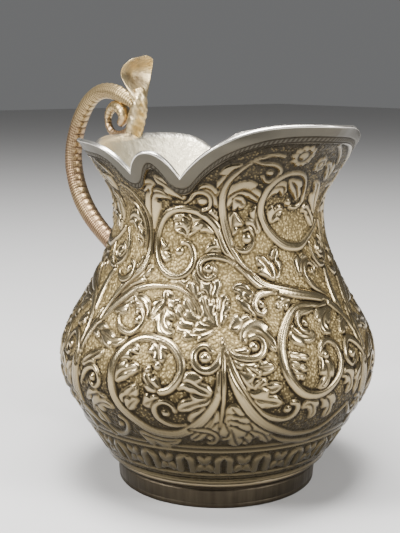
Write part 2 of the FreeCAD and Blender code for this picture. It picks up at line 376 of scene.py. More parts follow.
# Points are (angle from the lip, height). Leaves are laid first, then the stems that cross them.
leaves = [  # width, lobes, side with lobes, points
    # big left spiral, inside
    (2.6, 3, 1, [(77.9, 33.3), (76.6, 36.0), (74.9, 38.2), (72.6, 39.2), (69.0, 38.2)]),
    (2.3, 2, -1, [(76.8, 31.6), (74.6, 33.6), (71.5, 34.6), (67.4, 35.2)]),
    (2.6, 2, 1, [(75.2, 24.9), (73.6, 27.0), (71.2, 29.3), (68.1, 31.6)]),
    (1.8, 2, -1, [(72.4, 25.4), (70.2, 27.4), (67.7, 28.4)]),
    (2.4, 2, 0, [(65.5, 41.4), (62.9, 40.3), (61.7, 38.6), (61.5, 36.4)]),
    (1.7, 2, 0, [(59.6, 31.0), (62.3, 31.9), (64.4, 33.3), (64.9, 35.0)]),
    # pendant leaf under the left arch
    (2.8, 2, 0, [(64.6, 50.6), (62.8, 48.4), (63.2, 46.0), (62.6, 43.9), (59.6, 42.7), (57.4, 42.9)]),
    (1.7, 2, 1, [(63.6, 48.5), (66.5, 47.2), (67.6, 45.2)]),
    (1.7, 2, -1, [(62.6, 48.6), (59.9, 47.9), (57.0, 46.2)]),
    # bud scroll and its leaf
    (2.2, 2, 0, [(90.0, 45.4), (85.0, 46.5), (81.8, 47.2), (77.9, 48.2), (75.5, 47.6)]),
    (2.4, 2, 1, [(78.5, 48.2), (74.5, 47.6), (71.6, 46.4), (70.6, 44.4)]),
    # leaves off the left trunk
    (2.0, 2, -1, [(95.5, 40.4), (91.5, 40.8), (88.0, 40.0), (85.0, 38.0)]),
    (1.8, 2, 1, [(90.0, 40.6), (85.0, 40.2), (82.1, 39.7), (79.2, 39.7), (76.2, 40.9)]),
    (1.9, 2, 1, [(94.6, 33.2), (90.6, 34.9), (87.3, 36.3), (84.4, 37.4)]),
    (1.6, 2, 0, [(93.0, 25.0), (89.6, 26.6), (85.4, 26.9), (80.2, 26.3)]),
    (2.0, 2, 0, [(90.4, 22.4), (87.0, 24.6), (83.0, 25.6), (78.6, 24.8)]),
    # between the big left spiral and the spray
    (2.6, 2, 1, [(40.9, 31.2), (44.9, 29.6), (49.4, 28.4), (54.2, 26.9)]),
    (2.4, 2, -1, [(54.6, 31.8), (51.6, 33.2), (47.6, 32.2), (43.0, 30.6)]),
    (2.0, 2, 1, [(50.6, 24.4), (46.9, 26.2), (43.2, 28.2)]),
    (1.8, 2, 0, [(66.0, 27.3), (63.4, 28.3), (60.4, 29.4)]),
    # bottom leaves, left
    (2.4, 3, 1, [(70.6, 19.7), (65.0, 18.7), (59.6, 18.3), (54.4, 19.4)]),
    (1.9, 2, -1, [(84.6, 20.0), (86.8, 22.0), (87.9, 24.2)]),
    (1.5, 2, 0, [(102.0, 26.0), (99.0, 29.0), (96.4, 31.6)]),
    # right field: ribs inside the big right spiral
    (1.5, 2, 1, [(17.4, 38.4), (14.4, 38.0), (11.4, 37.7), (8.0, 37.5)]),
    (1.5, 2, 1, [(17.3, 36.9), (14.8, 36.2), (12.4, 35.6), (9.6, 35.0)]),
    (1.5, 2, 1, [(16.4, 34.9), (14.9, 34.3), (13.0, 33.9), (11.0, 33.6)]),
    (2.0, 2, 0, [(3.4, 37.6), (2.0, 35.0), (2.0, 32.8), (3.6, 31.2), (6.4, 30.6)]),
    # hooks and leaves of the middle
    (1.9, 2, 0, [(12.0, 44.6), (12.6, 42.8), (9.8, 41.4), (5.9, 41.0), (2.6, 42.2)]),
    (2.6, 2, -1, [(33.6, 49.4), (30.0, 49.2), (26.8, 47.9), (23.0, 45.7)]),
    (2.0, 2, 1, [(34.8, 51.2), (31.2, 51.4), (27.6, 50.4), (25.4, 49.4)]),
    (1.6, 2, 0, [(9.2, 48.5), (13.0, 48.2), (17.0, 46.9)]),
    (2.0, 2, 0, [(36.6, 43.8), (33.0, 44.6), (29.8, 45.2), (27.6, 44.8)]),
    (2.2, 2, 0, [(32.0, 41.2), (30.2, 43.1), (27.2, 43.5), (24.0, 42.5), (21.8, 40.6), (20.4, 39.2)]),
    # leaves of the spray
    (3.0, 3, -1, [(38.2, 39.4), (34.8, 38.0), (30.9, 37.0), (27.4, 36.2), (21.7, 36.3)]),
    (1.8, 2, -1, [(32.4, 36.8), (29.8, 35.6), (27.0, 34.4)]),
    (2.8, 3, -1, [(36.2, 36.1), (33.0, 33.2), (29.8, 31.8), (26.4, 31.4), (20.0, 32.4)]),
    (1.7, 2, 1, [(29.2, 31.8), (27.2, 33.0), (25.6, 34.0)]),
    (2.6, 2, -1, [(32.4, 30.9), (28.8, 29.6), (25.0, 29.0), (19.8, 28.0)]),
    (3.2, 2, 0, [(37.0, 28.4), (34.2, 25.9), (31.2, 24.6), (27.8, 24.4)]),
    (3.2, 3, 0, [(37.6, 26.2), (34.2, 23.4), (30.2, 22.2), (26.0, 21.2), (22.0, 18.2)]),
    (3.0, 2, 0, [(37.4, 24.6), (34.8, 22.0), (32.2, 20.2), (29.4, 18.2)]),
    (2.6, 2, 0, [(37.0, 23.2), (35.8, 21.2), (34.8, 19.4), (33.4, 17.8)]),
    (2.4, 2, 0, [(42.0, 27.4), (43.4, 24.0), (46.6, 21.4), (50.6, 19.2)]),
    (2.0, 2, 0, [(40.2, 24.4), (40.9, 21.4), (42.9, 18.6)]),
    # right edge of the third
    (2.0, 2, 0, [(5.4, 28.2), (1.8, 27.4), (0.0, 25.2), (1.8, 22.5)]),
    (2.0, 2, 0, [(-4.8, 31.8), (-8.0, 32.0), (-10.2, 30.0), (-8.0, 27.3)]),
    (2.2, 2, 0, [(-11.3, 45.3), (-7.8, 45.0), (-4.4, 44.0), (-3.2, 42.2), (-6.2, 41.2)]),
    (1.9, 2, 1, [(-19.6, 33.0), (-16.8, 31.2), (-14.6, 28.6), (-14.9, 26.0)]),
    (1.9, 2, -1, [(-18.8, 42.2), (-16.6, 42.6), (-13.8, 41.6), (-11.0, 40.4)]),
    (1.8, 2, -1, [(12.4, 26.4), (9.0, 27.0), (7.4, 25.2), (8.6, 23.2)]),
    # neck, left
    (3.0, 3, 1, [(43.6, 62.6), (47.2, 64.6), (51.4, 65.0), (55.2, 63.4), (57.2, 61.4)]),
    (2.2, 2, -1, [(56.4, 63.2), (60.2, 65.0), (64.8, 65.2)]),
    (2.0, 2, 0, [(57.0, 61.9), (60.2, 63.4), (63.8, 62.8)]),
    (1.8, 2, 0, [(71.5, 61.0), (70.6, 58.9), (67.6, 57.4), (64.0, 57.6)]),
    (2.4, 2, 1, [(76.4, 62.6), (77.4, 65.4), (76.6, 68.6), (73.2, 70.4), (68.6, 70.4), (65.0, 69.4)]),
    (2.4, 3, 0, [(87.6, 48.8), (83.0, 51.2), (78.6, 53.0), (73.4, 55.2)]),
    (2.0, 2, -1, [(82.6, 52.0), (80.0, 54.6), (78.6, 57.4)]),
    (2.0, 2, 0, [(38.4, 57.6), (42.8, 59.4), (46.9, 58.2)]),
    (2.2, 2, 0, [(40.4, 67.6), (43.0, 70.2), (46.8, 71.8), (50.6, 71.4)]),
    (2.2, 2, -1, [(93.8, 63.4), (91.0, 64.6), (87.2, 64.0), (84.4, 61.4), (84.4, 58.6)]),
    (2.2, 2, 1, [(80.2, 60.0), (83.4, 62.4), (87.0, 63.6)]),
    (1.9, 2, 1, [(52.4, 48.6), (54.8, 51.2), (58.6, 52.2), (63.0, 52.4)]),
    # under the lip
    (3.0, 3, -1, [(38.6, 67.6), (35.4, 70.4), (30.4, 71.4), (25.4, 70.6), (21.2, 68.8)]),
    (2.0, 2, 1, [(34.4, 69.6), (31.0, 68.9), (28.2, 68.0)]),
    (2.4, 2, 1, [(18.0, 69.2), (14.6, 71.9), (11.0, 71.9), (9.4, 69.8)]),
    (2.0, 2, -1, [(8.6, 73.4), (4.4, 71.9), (0.8, 70.2), (-1.2, 68.6)]),
    (1.9, 2, 0, [(13.6, 64.4), (11.2, 66.4), (7.0, 67.0)]),
    (2.2, 2, 0, [(33.6, 66.8), (34.5, 64.4), (34.2, 62.0)]),
    (2.2, 2, 1, [(13.2, 52.9), (14.2, 55.4), (13.2, 58.0), (10.6, 59.2)]),
    (2.4, 2, -1, [(15.6, 52.8), (18.4, 56.0), (22.4, 57.8)]),
    (1.9, 2, 0, [(0.2, 53.0), (-2.8, 55.6), (-8.4, 56.4)]),
    (2.0, 2, 1, [(-16.6, 62.6), (-13.8, 65.2), (-9.6, 66.6), (-6.2, 66.0)]),
    (2.0, 2, -1, [(-18.8, 65.2), (-16.4, 69.0), (-12.2, 71.8), (-8.0, 72.6)]),
    (2.0, 2, 1, [(-18.0, 72.6), (-13.8, 75.6), (-9.2, 76.6)]),
    (2.0, 2, 0, [(20.6, 62.4), (22.6, 65.6), (21.8, 68.0)]),
    (1.9, 2, 0, [(30.4, 76.6), (34.2, 76.2), (38.0, 74.2), (41.4, 71.6)]),
    (2.0, 2, 0, [(57.6, 69.4), (61.8, 71.2), (66.4, 72.8), (70.4, 74.4)]),
    (1.9, 2, -1, [(71.4, 72.4), (75.6, 72.2), (79.6, 70.6)]),
]
stems = [  # width, flutes, share of the width at the start and at the end, points
    # trunks that rise between one third and the next
    (4.4, 4, 0.5, 0.5, [(97.6, 17.4), (98.8, 22.0), (99.6, 28.0), (99.2, 34.0), (97.6, 39.6), (94.6, 44.6)]),
    (2.8, 3, 0.5, 0.3, [(104.0, 22.8), (98.0, 22.2), (91.4, 19.6), (84.0, 16.9)]),
    (2.6, 3, 0.4, 0.5, [(99.6, 41.0), (101.8, 46.6), (100.6, 51.6), (96.8, 55.8), (94.8, 59.8)]),
    # left arch and its inner line
    (2.5, 3, 0.9, 0.35, [(97.5, 36.0), (95.6, 41.0), (90.4, 45.2), (85.0, 48.0), (80.0, 49.9), (75.0, 50.9),
                         (70.0, 51.4), (65.0, 51.5), (60.0, 51.4), (55.0, 50.5), (51.0, 48.8), (48.4, 46.6)]),
    # big left spiral
    (2.9, 3, 0.35, 0.62, [(39.8, 41.9), (40.5, 36.0), (41.2, 30.4), (43.4, 27.2), (46.6, 24.4), (50.2, 22.3),
                          (55.0, 20.7), (60.0, 20.4), (65.0, 20.9), (70.0, 22.8), (73.8, 24.7),
                          (76.8, 27.0), (78.4, 29.6), (78.9, 32.2), (78.7, 35.0), (77.5, 37.4), (75.2, 39.2),
                          (72.0, 40.6), (67.7, 41.4), (63.5, 41.3), (59.3, 40.8), (55.8, 39.4),
                          (53.6, 37.5), (53.2, 35.3), (54.5, 33.2), (57.0, 31.4), (60.0, 30.7)]),
    # bud scroll
    (1.7, 2, 0.6, 0.7, [(84.0, 44.4), (81.6, 42.6), (78.6, 41.9), (75.4, 41.8), (72.6, 42.9), (71.8, 44.7),
                        (73.4, 46.2), (76.2, 46.4)]),
    # small spirals, left
    (1.7, 2, 0.4, 0.7, [(95.4, 28.4), (93.9, 30.4), (91.8, 32.3), (88.3, 33.3), (85.2, 32.0), (85.0, 29.9),
                        (87.2, 28.9), (89.6, 29.9)]),
    (1.7, 2, 0.4, 0.7, [(51.6, 23.4), (55.0, 22.9), (58.6, 23.4), (61.8, 25.0), (62.2, 27.1), (59.6, 28.5),
                        (56.5, 28.0), (55.2, 26.6)]),
    (1.6, 2, 0.5, 0.7, [(50.6, 22.2), (48.0, 22.2), (44.4, 22.0), (41.4, 20.6), (42.0, 18.8), (44.2, 18.6)]),
    (1.7, 2, 0.5, 0.7, [(86.0, 19.4), (81.8, 18.0), (77.9, 18.4), (75.4, 20.0), (75.2, 22.2), (77.4, 22.9)]),
    (2.0, 2, 0.5, 0.7, [(39.9, 41.0), (40.5, 38.0), (43.4, 36.0), (46.9, 36.0), (49.3, 37.8), (48.7, 39.8),
                        (45.8, 40.6), (43.5, 39.6)]),
    # right: stem that becomes the neck's great loop
    (2.8, 3, 0.6, 0.6, [(-20.6, 37.0), (-19.5, 42.1), (-15.6, 45.1), (-11.4, 46.9), (-6.8, 48.1),
                        (-1.9, 48.8), (3.0, 49.4), (8.0, 50.0), (12.9, 50.6), (17.8, 51.2), (22.4, 52.2),
                        (27.9, 54.8), (32.8, 56.9), (37.7, 59.6), (40.6, 62.6), (44.9, 65.0), (49.8, 66.5),
                        (55.1, 67.2), (60.0, 67.3), (65.0, 66.8), (69.2, 65.6), (71.9, 63.6), (73.2, 61.6),
                        (73.4, 59.5), (72.0, 57.2), (69.5, 55.4), (65.8, 54.1), (61.5, 53.5),
                        (57.2, 54.0), (54.4, 55.3), (53.2, 57.1), (54.0, 59.0), (56.4, 60.3), (59.4, 60.3)]),
    # big right spiral
    (2.6, 3, 0.5, 0.62, [(-9.6, 46.6), (-5.0, 46.5), (-1.0, 46.9), (3.0, 47.0), (8.0, 46.7), (11.5, 45.6),
                         (14.3, 44.0), (16.9, 41.8), (18.3, 39.4), (18.4, 36.8), (17.3, 34.1),
                         (15.0, 31.7), (11.9, 29.8), (8.0, 28.9), (3.0, 29.1), (-1.2, 30.5),
                         (-4.2, 32.4), (-5.9, 35.0), (-5.9, 37.3), (-4.4, 39.0), (-1.5, 39.8),
                         (1.5, 39.2), (3.0, 37.8)]),
    (1.9, 2, 0.5, 0.8, [(-0.6, 46.0), (3.0, 45.9), (6.4, 45.8), (8.6, 44.6), (8.4, 42.9), (6.0, 42.2)]),
    # spiral with the bright leaf
    (1.9, 2, 0.4, 0.8, [(15.8, 50.2), (19.6, 50.4), (23.0, 50.1), (25.4, 48.9), (25.8, 47.3), (23.6, 46.4),
                        (21.6, 47.2)]),
    (1.9, 2, 0.4, 0.8, [(38.4, 40.8), (36.0, 38.9), (31.8, 38.2), (28.1, 38.2), (25.3, 39.3), (24.7, 41.0),
                        (26.7, 42.2), (29.6, 42.0)]),
    # spray
    (2.3, 3, 0.35, 0.7, [(39.6, 42.0), (38.2, 39.1), (36.9, 36.6), (35.1, 33.8), (33.2, 31.3), (31.0, 28.9),
                         (28.1, 26.8), (25.3, 25.5), (22.4, 24.7), (18.9, 24.2), (15.7, 24.7),
                         (14.1, 25.9), (14.1, 27.5), (16.0, 28.0)]),
    (2.7, 3, 0.3, 0.4, [(38.6, 38.6), (36.4, 33.8), (33.4, 29.9), (30.9, 27.2), (27.4, 24.6), (23.1, 22.5),
                        (18.2, 20.9), (13.3, 19.7), (8.0, 19.3), (3.0, 19.4), (-1.9, 20.4),
                        (-6.1, 22.3), (-11.4, 24.4)]),
    (1.8, 2, 0.3, 0.4, [(22.2, 20.4), (17.8, 18.6), (12.9, 17.7), (8.2, 17.3), (2.7, 17.3), (-2.6, 18.0),
                        (-7.6, 19.7)]),
    (1.2, 1, 0.45, 0.5, [(39.6, 40.4), (39.2, 36.0), (39.2, 31.3), (39.6, 26.7), (40.4, 23.0)]),
    # right edge spirals
    (1.9, 2, 0.5, 0.7, [(-21.4, 33.0), (-20.0, 36.2), (-17.4, 37.9), (-13.2, 38.9), (-10.2, 37.3),
                        (-9.7, 34.9), (-11.6, 33.6), (-14.0, 34.4)]),
    (1.8, 2, 0.5, 0.7, [(-11.6, 24.2), (-13.8, 22.4), (-17.0, 21.0), (-19.6, 22.4), (-19.4, 24.8),
                        (-16.8, 25.2)]),
    # neck: column strands on the left
    (2.1, 2, 0.6, 0.4, [(94.0, 43.0), (90.0, 48.6), (84.0, 52.4), (79.0, 54.6), (77.2, 57.4), (77.2, 61.0),
                        (78.4, 64.0), (82.0, 67.0), (86.2, 69.2), (91.0, 70.8), (95.6, 71.6)]),
    (1.8, 2, 0.5, 0.4, [(80.6, 58.4), (80.6, 62.0), (83.2, 65.2), (87.8, 67.2), (93.5, 68.4)]),
    (1.9, 2, 0.5, 0.7, [(94.6, 53.0), (92.2, 51.9), (88.4, 51.6), (85.2, 52.8), (85.0, 54.8), (87.6, 55.7)]),
    (2.2, 2, 0.5, 0.6, [(95.4, 62.2), (93.2, 60.0), (93.2, 57.4), (95.2, 55.4), (99.9, 54.3), (105.0, 54.2),
                        (109.4, 55.2)]),
    (1.9, 2, 0.5, 0.7, [(34.0, 56.2), (37.4, 57.2), (42.0, 57.8), (47.0, 57.5), (50.0, 56.3), (49.3, 54.2),
                        (46.0, 53.3), (43.0, 54.0)]),
    (1.8, 2, 0.5, 0.7, [(57.6, 68.6), (55.0, 69.4), (52.8, 70.6), (49.0, 70.9), (45.8, 69.9), (46.0, 67.8),
                        (49.0, 67.2)]),
    # under the lip: rising stem, scroll and eye spirals
    (2.5, 3, 0.4, 0.5, [(25.6, 54.6), (29.6, 56.0), (33.2, 58.4), (36.6, 61.8), (38.6, 65.2), (39.6, 68.7),
                        (38.5, 71.6), (36.1, 73.9), (32.4, 75.9), (28.3, 77.6), (23.3, 78.7), (19.2, 79.0),
                        (15.5, 78.6)]),
    (1.8, 2, 0.5, 0.7, [(27.6, 77.8), (23.2, 77.2), (18.4, 76.9), (15.0, 75.5), (16.6, 73.6), (19.8, 73.2),
                        (22.4, 74.4)]),
    (2.5, 3, 0.6, 0.6, [(-21.8, 63.6), (-19.0, 62.4), (-14.9, 61.1), (-9.5, 59.8), (-4.6, 58.9), (0.7, 58.9),
                        (6.1, 59.5), (11.0, 60.9), (15.3, 62.8), (18.2, 64.9), (19.8, 67.1), (19.4, 69.6),
                        (17.8, 71.8), (15.1, 73.5), (11.4, 74.6), (6.9, 74.9), (2.8, 74.4), (-1.3, 72.7),
                        (-4.4, 70.3), (-5.2, 68.3), (-2.1, 67.3), (2.8, 67.5)]),
    (1.8, 2, 0.5, 0.7, [(33.0, 59.6), (30.0, 58.9), (26.4, 59.2), (24.0, 61.2), (25.4, 63.4), (28.4, 63.2)]),
    (1.7, 2, 0.4, 0.6, [(-12.6, 48.4), (-8.0, 49.6), (-4.8, 51.2), (-3.2, 53.2), (-5.0, 54.9), (-8.3, 55.3),
                        (-10.6, 54.2), (-9.1, 52.8)]),
    (1.9, 2, 0.5, 0.5, [(-20.6, 54.0), (-16.4, 54.6), (-13.6, 56.6), (-12.2, 59.4)]),
    (1.8, 2, 0.5, 0.6, [(-21.6, 76.0), (-18.2, 78.0), (-13.4, 79.6), (-8.6, 80.6)]),
]
beads = [  # angle, height, radius, radius of the ring round it
    (61.6, 36.2, 0.9, 0), (73.9, 44.4, 1.0, 0), (88.2, 31.0, 0.9, 0), (58.4, 25.9, 0.9, 0),
    (43.6, 20.2, 0.8, 0), (77.9, 20.9, 0.8, 0), (45.5, 38.4, 1.1, 0), (1.2, 37.2, 1.1, 0),
    (5.6, 43.8, 0.8, 0), (23.0, 48.2, 0.9, 0), (28.3, 40.4, 1.0, 0), (17.6, 26.6, 0.9, 0),
    (-13.2, 35.9, 1.1, 0), (-17.2, 23.4, 0.8, 0), (88.0, 53.9, 0.9, 0), (45.6, 55.4, 1.0, 0),
    (49.0, 69.1, 1.1, 0), (60.8, 58.6, 1.0, 0), (19.6, 75.3, 0.9, 0), (26.8, 61.4, 1.1, 0),
    (-8.2, 53.6, 0.7, 0), (4.6, 68.4, 0.9, 0), (98.6, 57.4, 1.2, 1.9), (64.9, 35.2, 0.8, 0),
]
# angle, height, radius, petals
flowers = [(7.5, 78.7, 2.9, 10), (-4.8, 76.6, 2.1, 8), (84.4, 73.2, 1.2, 6)]


def foliateHeart():
    # crimped petals that fan out from the top of the spray, up and away from the lip
    heart = {"angle": 40.2, "height": 43.4, "radius": 35.5,
             # lean from upright, length and width of each petal
             "petals": [(-8, 7.0, 2.0), (14, 13.5, 2.3), (88, 10.5, 2.2), (30, 14.0, 2.5),
                        (72, 12.0, 2.5), (46, 12.6, 2.6), (60, 11.0, 2.4), (38, 8.0, 2.2)]}
    for lean, length, wide in heart["petals"]:
        points = []
        for share, bend in ((0.12, 0.0), (0.55, 5.0), (1.0, -4.0)):
            turn = (lean + bend) * degree
            points.append((heart["angle"] + share * length * math.sin(turn) / (heart["radius"] * degree),
                           heart["height"] + share * length * math.cos(turn)))
        leaf(points, wide * 0.9, 3, 0, tall=0.8, vein=0.4, blunt=1.25)


for width, lobes, side, points in leaves:
    leaf(points, width, lobes, side)
foliateHeart()
for width, flutes, start, end, points in stems:
    stem(points, width, flutes, start, end)
for angle, height, radius, ring in beads:
    bead(angle, height, radius, ring)
for angle, height, radius, petals in flowers:
    flower(angle, height, radius, petals)
print("chased field: strokes laid, cover", round(float((relief > 0.05).mean()), 3))

# the field rises to a raised line at its foot and to the plain border at its top
rowsUp = cellLength - cellLength[:1]
rowsDown = cellLength[-1:] - cellLength
relief = np.maximum(relief, 1.0 - smoothStep(0.25, 0.75, rowsUp))
relief = np.maximum(relief, 0.95 * np.exp(-((rowsUp - 1.15) / 0.22) ** 2))
relief = np.maximum(relief, 1.0 - smoothStep(0.15, 0.6, rowsDown))
relief = blurred(relief, 1)
ground = 1.0 - smoothStep(0.02, 0.16, relief)
grains = np.random.default_rng(11).random(relief.shape)
grains = blurred(grains, 1)
grains = np.clip((grains - grains.mean()) / grains.std(), -2.2, 2.2)
sunk = relief + ground * field["grain"] * grains
# hollows: broad ones between the stems, then the narrow ones beside each line
hollow = np.clip((blurred(relief, 8) - relief) * 2.2, 0.0, 1.0)
hollow = np.clip(hollow + np.clip((blurred(relief, 2) - relief) * 3.5, 0.0, 0.6), 0.0, 1.0)

reliefAll = np.tile(relief, (1, 3))
sunkAll = np.tile(sunk, (1, 3))
groundAll = np.tile(ground, (1, 3))
hollowAll = np.tile(hollow, (1, 3))
sheet = around(fieldAngles, planRadius(fieldAngles, fieldHeights), fieldHeights)
sheetNormals = gridNormals(sheet)
chased = sheet - sheetNormals * (field["depth"] * (1.0 - sunkAll))[..., None]
chasedNormals = gridNormals(chased)
chasedPieces = []
for number, name in enumerate(["chased_skin_lip", "chased_skin_handle", "chased_skin_far"]):
    columns = np.arange(number * field["columns"], (number + 1) * field["columns"] + 1) % allAngles.size
    piece = gridPiece(name, chased[:, columns], False,
                      fields={"relief": reliefAll[:, columns], "ground": groundAll[:, columns],
                              "hollow": hollowAll[:, columns]},
                      normals=chasedNormals[:, columns])
    chasedPieces.append(piece)
print("chased skins made")

# ---- leaf band between the field and the foot
band = {"rows": 46, "repeats": 22, "first": 5.5, "depth": 0.7, "grain": 0.09, "soft": 0.35,
        "archTop": 9.3, "archFoot": 3.2, "archSpread": 2.25, "archSlot": 0.46}
bandLengths = np.linspace(lengthAt(bodyBottom), lengthAt(field["low"]), band["rows"])
bandHeights = np.interp(bandLengths, lengths, heights)[:, None]
bandAngles = np.broadcast_to(allAngles[None, :], (band["rows"], allAngles.size))
bandRadius = outline(bandHeights)
pitch = 360.0 / band["repeats"]
unit = ((bandAngles - band["first"] + pitch / 2.0) % pitch - pitch / 2.0) * degree * bandRadius
high = np.broadcast_to(bandLengths[:, None] - bandLengths[0], unit.shape)
bandRelief = np.zeros(unit.shape)


def addToBand(inside, tall):
    # one more shape of the band, from how far inside its outline each point lies
    np.maximum(bandRelief, tall * rounded(inside, band["soft"]), out=bandRelief)


above = np.maximum(high - (band["archTop"] - band["archSpread"]), 0.0)
slotShare = np.clip((band["archTop"] - 1.2 - high) / 1.2, 0.0, 1.0) ** 0.5
archOpen = np.where(high > band["archFoot"] + 0.2, band["archSlot"] * slotShare, 0.0)
arch = np.minimum(band["archSpread"] - np.hypot(unit, above), np.abs(unit) - archOpen)
addToBand(np.minimum(arch, high - band["archFoot"]), 0.95)
# two leaves on each side of an arch: distance out, height, size, lean
for side in (-1, 1):
    for wide, low, size, lean in ((3.15, 4.9, 0.95, 0.30), (3.65, 7.6, 0.95, -0.2)):
        across = unit * side - wide - lean * (high - low)
        addToBand(size - np.hypot(across, (high - low) * 0.62), 0.75)
# a bud between neighbours, and two raised lines under them all
rest = np.abs(np.abs(unit) - pitch * degree * bandRadius / 2.0)
addToBand(0.55 - np.hypot(rest, (high - 4.6) * 0.7), 0.7)
addToBand(0.42 - np.abs(high - 2.6), 0.85)
addToBand(0.30 - np.abs(high - 1.5), 0.5)
bandRelief = np.maximum(bandRelief, 1.0 - smoothStep(0.3, 0.7, high[-1:] - high))
bandRelief = np.maximum(bandRelief, 1.0 - smoothStep(0.3, 0.8, high))
bandRelief = blurred(bandRelief, 1)
bandGround = 1.0 - smoothStep(0.02, 0.2, bandRelief)
bandGrain = blurred(np.random.default_rng(5).random(unit.shape), 1)
bandSunk = bandRelief + bandGround * band["grain"] * (bandGrain - bandGrain.mean()) / bandGrain.std()
bandSheet = around(bandAngles, bandRadius, bandHeights)
bandForm = bandSheet - gridNormals(bandSheet) * (band["depth"] * (1.0 - bandSunk))[..., None]
leafBand = gridPiece("leaf_band", bandForm, True,
                     fields={"relief": bandRelief, "ground": bandGround,
                             "hollow": np.clip((blurred(bandRelief, 8) - bandRelief) * 1.4, 0.0, 1.0)})
print("leaf band made")

# ---- plain border, rolled edge, inside and floor
mouth = {"borderRows": 26, "edgeRows": 5, "insideRows": 46, "floorRows": 7, "ropeAt": 0.75,
         "ropeWide": 0.38, "ropeTwist": 1.0, "ropeDepth": 0.20, "cutLow": 0.20, "cutHigh": 1.30,
         "cutWide": 0.15, "edgeRound": 0.14}
# the cut edge leans with the sheet's thickness, so its inner line is found in a few steps
innerEdge = rimLine + 0.5
for step in range(6):
    innerEdge = rimLine + vessel["edgeLean"] * (planRadius(allAngles, rimLine)
                                                - insideRadius(allAngles, innerEdge))
outerEdge = around(allAngles, planRadius(allAngles, rimLine), rimLine)
innerPoint = around(allAngles, insideRadius(allAngles, innerEdge), innerEdge)
shares = np.linspace(0.0, 1.0, mouth["borderRows"])[:, None]
borderHeights = borderLine + (rimLine - borderLine) * shares
borderPoints = around(allAngles[None, :], planRadius(allAngles[None, :], borderHeights), borderHeights)
upBorder = lengthAt(borderHeights) - lengthAt(borderHeights[:1])
walked = np.concatenate([[0.0], np.cumsum(np.linalg.norm(np.diff(borderPoints[0], axis=0), axis=1))])
turns = np.round(walked[-1] / mouth["ropeTwist"]) * walked / walked[-1]
ropeBand = np.exp(-((upBorder - mouth["ropeAt"]) / mouth["ropeWide"]) ** 4)
rope = ropeBand * (0.5 + 0.5 * np.cos(2.0 * math.pi * (turns[None, :] + upBorder * 0.7)))
lineCut = (np.exp(-((upBorder - mouth["cutLow"]) / mouth["cutWide"]) ** 2)
           + np.exp(-((upBorder - mouth["cutHigh"]) / mouth["cutWide"]) ** 2))
borderSink = mouth["ropeDepth"] * (lineCut + 0.8 * ropeBand - 0.9 * rope) * (shares > 0.0)
lineCut = np.clip(lineCut + 0.9 * (ropeBand - rope), 0.0, 1.0)
borderPoints = borderPoints - gridNormals(borderPoints) * np.maximum(borderSink, -0.05)[..., None]
rolled = np.linspace(0.0, 1.0, mouth["edgeRows"])[1:-1, None, None]
edgePoints = outerEdge + (innerPoint - outerEdge) * rolled
edgePoints = edgePoints + np.array([0.0, 0.0, mouth["edgeRound"]]) * np.sin(math.pi * rolled)
falls = np.linspace(0.0, 1.0, mouth["insideRows"])[:, None]
floorHeight = bodyBottom + vessel["wall"]
insideHeights = innerEdge + (floorHeight - innerEdge) * falls
insidePoints = around(allAngles[None, :], insideRadius(allAngles[None, :], insideHeights), insideHeights)
floorShares = np.linspace(1.0, 0.0, mouth["floorRows"] + 1)[1:, None]
floorPoints = around(allAngles[None, :], floorShares * insideRadius(allAngles, floorHeight)[None, :],
                     np.full((mouth["floorRows"], allAngles.size), floorHeight))
mouthPoints = np.concatenate([borderPoints, edgePoints, insidePoints, floorPoints])
worn = np.concatenate([
    np.clip(lineCut, 0.0, 1.0), np.zeros((mouth["edgeRows"] - 2 + mouth["insideRows"]
                                          + mouth["floorRows"], allAngles.size))])
edgeShine = np.zeros(mouthPoints.shape[:2])
edgeShine[mouth["borderRows"] - 2:mouth["borderRows"] + mouth["edgeRows"] - 1] = 1.0
within = np.zeros(mouthPoints.shape[:2])
within[mouth["borderRows"] + mouth["edgeRows"] - 2:] = 1.0
mouthPiece = gridPiece("plain_mouth", mouthPoints, True,
                       fields={"cut": worn, "edge": edgeShine, "within": within})
weld(mouthPiece, False)
print("mouth and inside made")


# ---- turned pieces: a ring is drawn as a circle and pulled up through its profile
def turnedRing(name, profile, segments, closed):
    clearSelection()
    radius, height = profile[0]
    bpy.ops.mesh.primitive_circle_add(vertices=segments, radius=radius * mm, fill_type="NOTHING",
                                      location=(0.0, 0.0, height * mm))
    piece = bpy.context.object
    piece.name = piece.data.name = name
    bpy.ops.object.transform_apply(location=True, rotation=True, scale=True)
    bpy.ops.object.mode_set(mode="EDIT")
    bpy.ops.mesh.select_all(action="SELECT")
    for nextRadius, nextHeight in profile[1:] + (profile[:1] if closed else []):
        rise = (nextHeight - height) * mm
        bpy.ops.mesh.extrude_region_move(TRANSFORM_OT_translate={"value": (0.0, 0.0, rise)})
        size = max(nextRadius, 1e-4) / max(radius, 1e-4)
        bpy.ops.transform.resize(value=(size, size, 1.0), center_override=(0.0, 0.0, nextHeight * mm))
        radius, height = nextRadius, nextHeight
    bpy.ops.mesh.select_all(action="SELECT")
    bpy.ops.mesh.remove_doubles(threshold=1e-6)
    bpy.ops.mesh.normals_make_consistent(inside=False)
    bpy.ops.object.mode_set(mode="OBJECT")
    bpy.ops.object.shade_smooth_by_angle(angle=0.6)
    return piece


